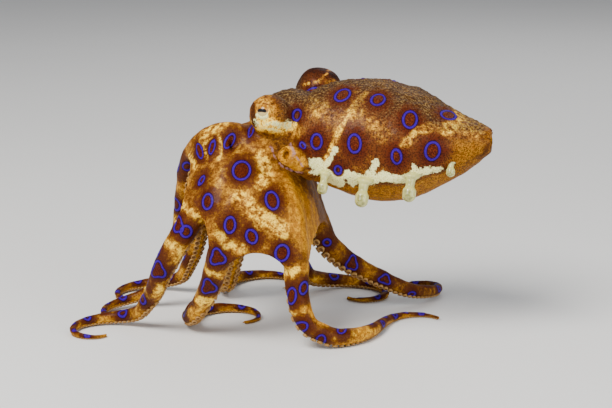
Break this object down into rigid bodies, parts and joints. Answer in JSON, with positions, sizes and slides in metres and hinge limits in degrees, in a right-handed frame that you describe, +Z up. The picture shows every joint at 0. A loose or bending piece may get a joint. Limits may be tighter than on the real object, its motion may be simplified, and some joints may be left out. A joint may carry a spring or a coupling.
{
  "type": "octopus model",
  "caption": "Life-size blue ringed octopus standing on its curled arms, with its pointed mantle held out level behind a head with raised eyes.",
  "frame": {"origin": "middle of the model's box on the floor that the arms stand on", "axes": "+Z up from the floor; +X from the arms to the mantle's tip, the longest extent; the animal faces -X, with its left side towards -Y"},
  "size_m": [0.0796, 0.055, 0.0496],
  "materials": {
    "skin_gold": "moist skin, golden tan, softly mottled",
    "skin_cream": "moist skin, cream",
    "skin_brown": "moist skin, red brown with a fine grain",
    "eye_gold": "wet and glossy, golden iris"
  },
  "bodies": {
    "root": {"arm_left_1_middle": "skin_gold", "arm_left_1_tip": "skin_gold", "arm_left_1_upper": "skin_gold", "arm_left_2_middle": "skin_gold", "arm_left_2_tip": "skin_gold", "arm_left_2_upper": "skin_gold", "arm_left_3_middle": "skin_gold", "arm_left_3_tip": "skin_gold", "arm_left_3_upper": "skin_gold", "arm_left_4_middle": "skin_gold", "arm_left_4_tip": "skin_gold", "arm_left_4_upper": "skin_gold", "arm_right_1_middle": "skin_gold", "arm_right_1_tip": "skin_gold", "arm_right_1_upper": "skin_gold", "arm_right_2_middle": "skin_gold", "arm_right_2_tip": "skin_gold", "arm_right_2_upper": "skin_gold", "arm_right_3_middle": "skin_gold", "arm_right_3_tip": "skin_gold", "arm_right_3_upper": "skin_gold", "arm_right_4_middle": "skin_gold", "arm_right_4_tip": "skin_gold", "arm_right_4_upper": "skin_gold", "crown": "skin_gold", "eye_left": "eye_gold", "eye_right": "eye_gold", "funnel": "skin_cream", "head": "skin_cream", "mantle": "skin_brown", "web_front": "skin_gold", "web_left": "skin_gold", "web_rear": "skin_gold", "web_right": "skin_gold"}
  },
  "joints": []
}
